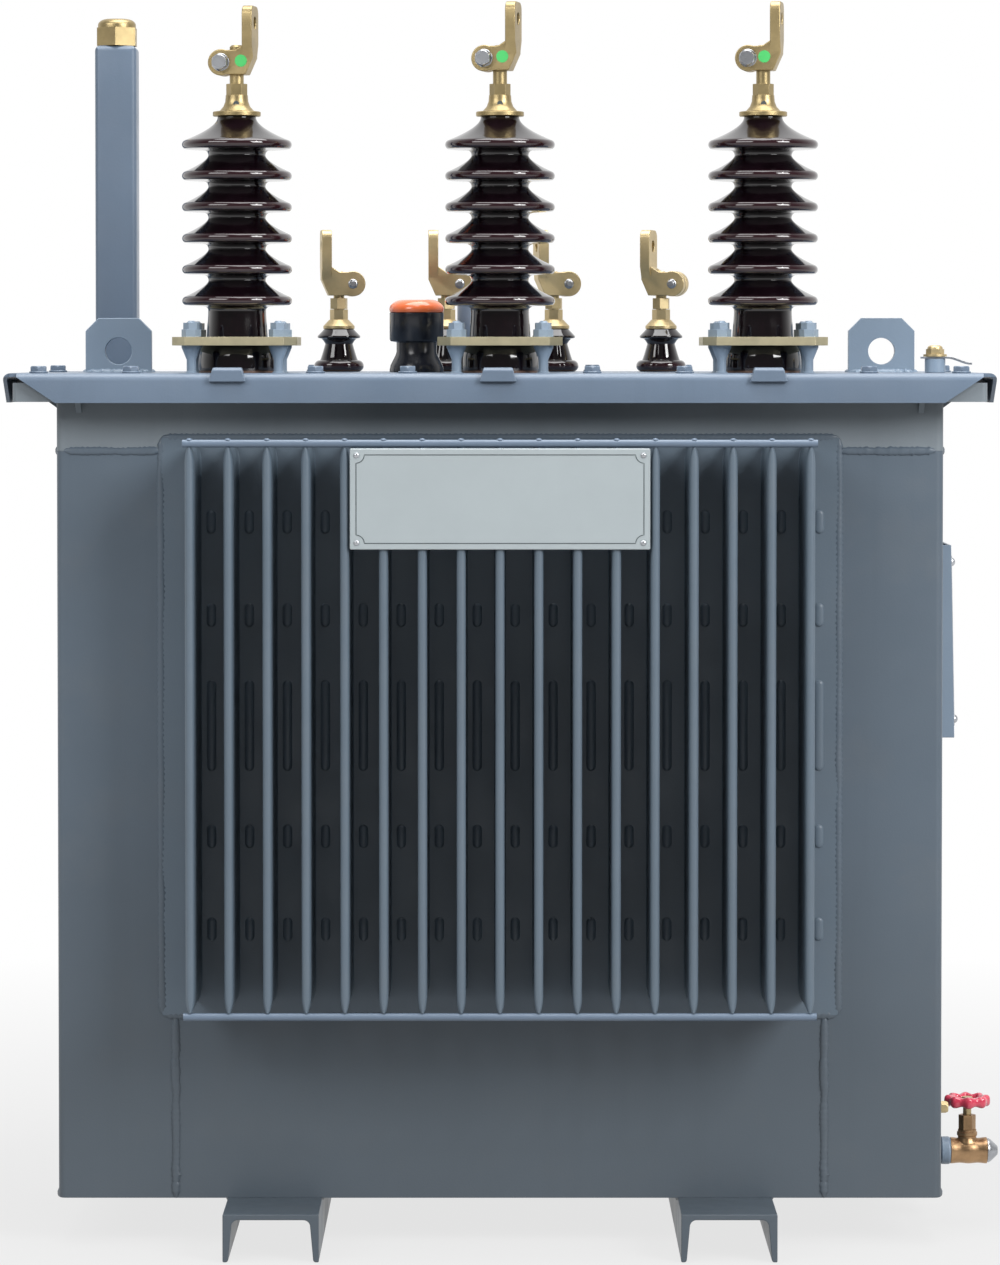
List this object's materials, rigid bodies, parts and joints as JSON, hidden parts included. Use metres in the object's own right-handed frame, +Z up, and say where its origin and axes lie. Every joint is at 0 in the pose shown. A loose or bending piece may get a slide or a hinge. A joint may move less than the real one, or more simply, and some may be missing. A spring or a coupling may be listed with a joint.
{
  "type": "distribution transformer",
  "caption": "Oil-filled distribution transformer: welded tank with corrugated cooling fins, bolted cover with high- and low-voltage bushings, filler pipe and drain valve.",
  "frame": {"origin": "on the ground, under the middle of the tank, level with the undersides of the base channels", "axes": "+Z up, -Y the front with the high-voltage bushings, +X to the right seen from the front"},
  "size_m": [1.0595, 0.643, 1.316],
  "materials": {
    "tank_paint": "semi-gloss blue-grey paint",
    "cover_paint": "semi-gloss blue-grey paint, seen from above",
    "porcelain": "glossy dark brown glaze",
    "brass": "satin brass",
    "zinc": "yellow-passivated zinc",
    "stud_paint": "grey paint on steel studs",
    "gasket": "matt black rubber",
    "black_plastic": "matt black",
    "orange_plastic": "orange",
    "sign_white": "white enamel",
    "plate_metal": "bare satin metal",
    "strap_metal": "tinned metal",
    "plug_metal": "zinc-plated steel",
    "wheel_red": "red paint"
  },
  "bodies": {
    "transformer": {"base_channel_left": "tank_paint", "base_channel_right": "tank_paint", "tank_floor": "tank_paint", "end_wall_left": "tank_paint", "end_wall_right": "tank_paint", "front_lower_plate": "tank_paint", "rear_lower_plate": "tank_paint", "top_frame": "tank_paint", "front_fin_panel": "tank_paint", "rear_fin_panel": "tank_paint", "fin_rods": "tank_paint", "sign_plate": "sign_white", "cover_gasket": "gasket", "cover": "cover_paint", "cover_tabs": "cover_paint", "lifting_lug_left": "cover_paint", "lifting_lug_right": "cover_paint", "filler_pipe": "cover_paint", "filler_cap": "brass", "relief_valve_body": "black_plastic", "relief_valve_cap": "orange_plastic", "tap_changer_post": "tank_paint", "hv_porcelain_left": "porcelain", "hv_porcelain_middle": "porcelain", "hv_porcelain_right": "porcelain", "hv_clamp_plates": "zinc", "hv_clamp_studs": "stud_paint", "hv_stems": "brass", "hv_connectors": "brass", "lv_porcelain": "porcelain", "lv_stems": "brass", "lv_connectors": "brass", "earth_boss": "cover_paint", "earth_strap": "strap_metal", "earth_bolt": "brass", "plate_bracket": "tank_paint", "bare_plate": "plate_metal", "drain_stub": "tank_paint", "drain_valve": "brass", "drain_plug": "plug_metal"},
    "handwheel": {"drain_handwheel": "wheel_red"}
  },
  "joints": [
    {"name": "drain_valve_turn", "type": "hinge", "parent": "transformer", "child": "handwheel", "pos_m": [0.507, -0.06, 0.127], "axis": [0, 0, 1], "range_deg": [0, 1200]}
  ]
}
